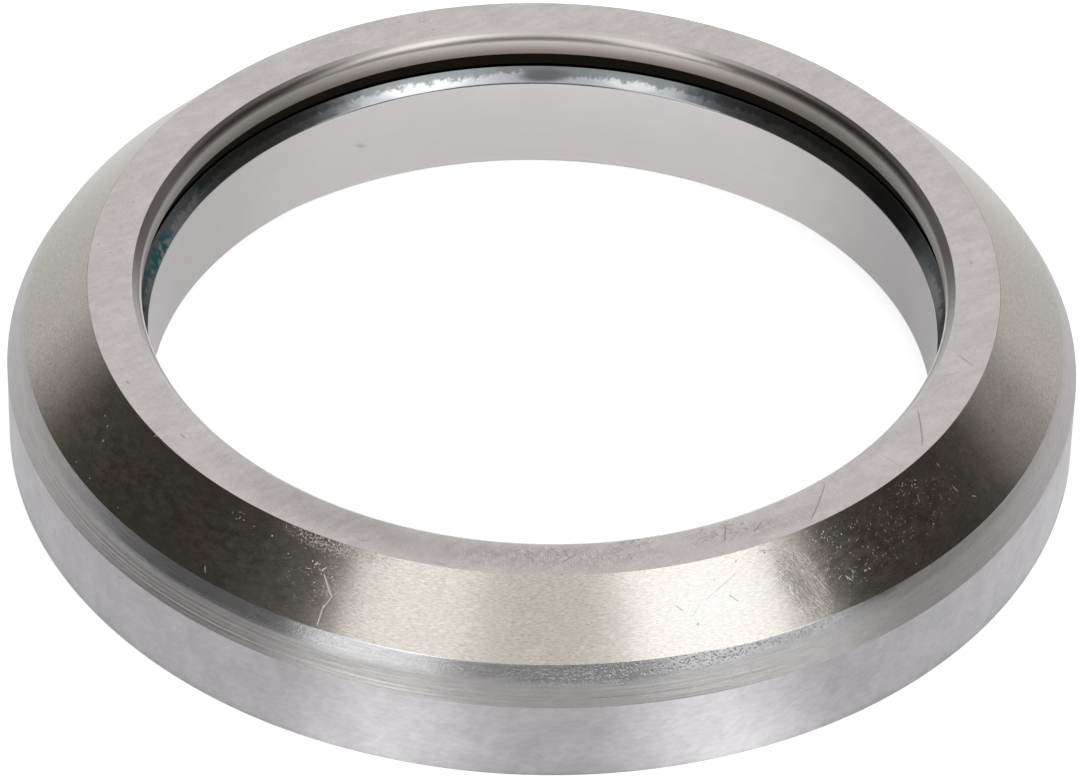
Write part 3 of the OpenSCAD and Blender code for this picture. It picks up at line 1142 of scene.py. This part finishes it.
# The studio: four soft boxes beside the camera, a grey card in front, a curved wall at each side,
# a pale floor and a white world. Directions are azimuth and elevation, as seen from the front.
LAMP_AWAY = 1.3
# Name, direction, width and height in degrees, and radiance
SOFT_BOXES = (
    ("left_soft_box", (-31, 48), 22, 44, 0.56),
    ("left_low_box", (-38, 18), 38, 22, 1.38),
    ("right_soft_box", (41.5, 46), 26, 44, 1.08),
    ("right_low_box", (36, 18), 20, 22, 0.5),
)
CARD_AWAY = 1.45
# Direction, width and height in degrees, and colour
FRONT_CARD = ((0, 17), 100, 28, (0.3, 0.288, 0.268))
WALL_AWAY = 1.1
# Name, first and last azimuth, and the azimuths between which the wall turns light
WALLS = (
    ("left_wall", -46, -160, (-114, -125)),
    ("right_wall", 66, 160, (107, 119)),
)
WALL_STEPS = 24
WALL_ELEVATIONS = (4, 12, 24, 36, 48, 58)
WALL_DARK = (0.098, 0.087, 0.076)
WALL_LIGHT = (0.68, 0.67, 0.67)

# The world's strength for the rays that light the bearing, and for the rays that see it
WORLD_LEVELS = (0.7, 1.0)

FLOOR_SIZE = 8
FLOOR_DROP = 0.00002
FLOOR_COLOUR = (0.86, 0.86, 0.86)
FLOOR_ROUGHNESS = 0.8
FLOOR_GLOW = 0.7
# Spans of millimetres from the outer cylinder, the last one from the axis, each with the
# floor's level at its start and at its end
POOL_FADE = (6, 12, 1, 0)
FOOT_SHADE = (0, 0.3, 0.3, 1.0)
FOOT_FILL = (0.0, 1.6, 0.15, 0.0)
FAR_LEVEL = (6, 14, 0.45, 0.26)
REAR_FADE = (2, 5, 1, 0)
INSIDE_GLOW = (6, 10, 0.5, 0.0)
# Degrees away from the front over which the foot's fill sets in
FILL_AZIMUTHS = (30, 65)
# Millimetres behind the axis over which the rear's glow sets in, and its amount
REAR_START = (-1, 4)
REAR_GLOW = 0.5
# How far the light pools and the rear's glow reach in under the outer ring, in millimetres
POOL_INSET = 2
REAR_INSET = 1
# Azimuth, half width and strength of the light pools on the floor
LIGHT_POOLS = ((-106, 16, 0.72), (-69, 16, 0.97), (-14, 36, 0.13), (-175, 25, 0.05))


def towards(direction):
    """The unit vector that points in a direction."""
    azimuth, elevation = map(math.radians, direction)
    return Vector((math.sin(azimuth) * math.cos(elevation),
                   -math.cos(azimuth) * math.cos(elevation), math.sin(elevation)))


def aimed(direction, distance):
    """A matrix that stands at a distance in a direction and faces the bearing."""
    back = towards(direction)
    turn = back.to_track_quat("Z", "Y").to_matrix().to_4x4()
    return Matrix.Translation(back * distance) @ turn


def span(distance, degrees):
    """The length that fills an angle at a distance."""
    return 2 * distance * math.tan(math.radians(degrees / 2))


def soft_box(name, direction, width_deg, height_deg, radiance):
    """An area lamp that shines evenly and faces the bearing."""
    data = bpy.data.lights.new(name, "AREA")
    data.shape = "RECTANGLE"
    width, height = span(LAMP_AWAY, width_deg), span(LAMP_AWAY, height_deg)
    data.size, data.size_y = width, height
    data.energy = radiance * math.pi * width * height
    made = bpy.data.objects.new(name, data)
    made.visible_camera = False
    made.matrix_world = aimed(direction, LAMP_AWAY)
    link(made)


def matte_material(name, colour, roughness=0.9):
    """A material without gloss."""
    material, tree, shader = new_material(name, colour, 0.0, roughness)
    shader.inputs["Specular IOR Level"].default_value = 0.0
    return material, tree, shader


def studio_piece(name, verts, faces, material):
    """A part of the studio."""
    mesh = bpy.data.meshes.new(name)
    mesh.from_pydata(verts, [], faces)
    mesh.materials.append(material)
    made = bpy.data.objects.new(name, mesh)
    link(made)
    return made


def hide_from_camera(made):
    """Leaves a part of the studio to be seen in the metal only."""
    made.visible_camera = False
    made.visible_shadow = False


def plane(name, width, height, matrix, material):
    x, y = width / 2, height / 2
    made = studio_piece(name, [(-x, -y, 0), (x, -y, 0), (x, y, 0), (-x, y, 0)], [(0, 1, 2, 3)], material)
    made.matrix_world = matrix
    return made


def card(name, direction, width_deg, height_deg, colour):
    """A flat card that faces the bearing."""
    material = matte_material(name, colour)[0]
    width, height = span(CARD_AWAY, width_deg), span(CARD_AWAY, height_deg)
    hide_from_camera(plane(name, width, height, aimed(direction, CARD_AWAY), material))


def wall_material(name, fade):
    """Dark, and light grey past a span of azimuths."""
    material, tree, shader = matte_material(name, WALL_DARK)
    x, y = axes(tree, position_mm(tree))[:2]
    across = math_node(tree, "ARCTAN2", math_node(tree, "ABSOLUTE", x), times(tree, y, -1.0))
    angles = [abs(math.radians(angle)) for angle in fade]
    tint(tree, shader, ramp(tree, across, *angles), WALL_DARK, WALL_LIGHT)
    return material


def curved_wall(name, first, last, fade):
    """A wall round one side of the bearing, from one azimuth to another."""
    verts = []
    for step in range(WALL_STEPS + 1):
        azimuth = first + (last - first) * step / WALL_STEPS
        verts.extend(towards((azimuth, elevation)) * WALL_AWAY for elevation in WALL_ELEVATIONS)
    rows = len(WALL_ELEVATIONS)
    faces = [(a * rows + b, a * rows + b + 1, (a + 1) * rows + b + 1, (a + 1) * rows + b)
             for a in range(WALL_STEPS) for b in range(rows - 1)]
    hide_from_camera(studio_piece(name, verts, faces, wall_material(name, fade)))


def white_for_seen_rays(tree):
    """1 for rays that see the background directly, in metal or through glass."""
    path = node(tree, "LightPath").outputs
    seen = plus(tree, path["Is Camera Ray"], path["Is Glossy Ray"])
    return math_node(tree, "ADD", seen, path["Is Transmission Ray"], clamp=True)


def make_world():
    """White for the rays that see it, and a little dimmer as a light."""
    world = bpy.data.worlds.new("studio")
    bpy.context.scene.world = world
    world.use_nodes = True
    tree = world.node_tree
    background = tree.nodes["Background"]
    background.inputs[0].default_value = (1, 1, 1, 1)
    strength = ramp(tree, white_for_seen_rays(tree), 0, 1, *WORLD_LEVELS)
    tree.links.new(strength, background.inputs[1])


def outside_ramp(tree, far, start, end, first, last):
    """A ramp over a span of millimetres from the outer cylinder outwards."""
    return ramp(tree, far, OUTER_R + start, OUTER_R + end, first, last)


def light_pools(tree):
    """Where the soft boxes shine on the floor just in front of the bearing."""
    azimuth, far, _ = turned_position(tree)
    pools = []
    for middle, reach, strength in LIGHT_POOLS:
        turned = math_node(tree, "ABSOLUTE", minus(tree, azimuth, middle))
        pools.append((ramp(tree, turned, 0, reach, 1, 0), strength))
    near = times(tree, outside_ramp(tree, far, *POOL_FADE),
                 math_node(tree, "GREATER_THAN", far, OUTER_R - POOL_INSET))
    return times(tree, summed(tree, *pools), near)


def floor_level(tree, glossy):
    """The floor's white: full for the camera. Metal sees less of it at the ring's foot and far
    away, and more in the middle of the ring."""
    azimuth, far, _ = turned_position(tree)
    gap = math_node(tree, "ABSOLUTE", minus(tree, far, OUTER_R))
    from_front = math_node(tree, "ABSOLUTE", plus(tree, azimuth, 90))
    fill = times(tree, ramp(tree, from_front, *FILL_AZIMUTHS), ramp(tree, gap, *FOOT_FILL))
    behind = times(tree, ramp(tree, axes(tree, position_mm(tree))[1], *REAR_START),
                   math_node(tree, "GREATER_THAN", far, OUTER_R - REAR_INSET))
    rear = times(tree, behind, outside_ramp(tree, far, *REAR_FADE))
    level = summed(tree, (outside_ramp(tree, far, *FAR_LEVEL), 1.0), (rear, REAR_GLOW))
    around = plus(tree, times(tree, ramp(tree, gap, *FOOT_SHADE), level), fill)
    mirrored = plus(tree, around, ramp(tree, far, *INSIDE_GLOW))
    return ramp(tree, glossy, 0, 1, FLOOR_GLOW, mirrored)


def make_floor():
    material, tree, shader = matte_material("pale_floor", FLOOR_COLOUR, FLOOR_ROUGHNESS)
    shader.inputs["Emission Color"].default_value = (1, 1, 1, 1)
    glossy = node(tree, "LightPath").outputs["Is Glossy Ray"]
    pools = times(tree, light_pools(tree), glossy)
    level = floor_level(tree, glossy)
    glow = math_node(tree, "MULTIPLY_ADD", white_for_seen_rays(tree), level, pools)
    tree.links.new(glow, shader.inputs["Emission Strength"])
    plane("floor", FLOOR_SIZE, FLOOR_SIZE, Matrix.Translation((0, 0, -FLOOR_DROP)), material)


def make_studio():
    for box in SOFT_BOXES:
        soft_box(*box)
    for wall in WALLS:
        curved_wall(*wall)
    card("front_grey_card", *FRONT_CARD)
    make_world()
    make_floor()


make_camera()
dress_rings()
dress_inside()
make_studio()
bpy.context.scene.view_settings.view_transform = "Standard"
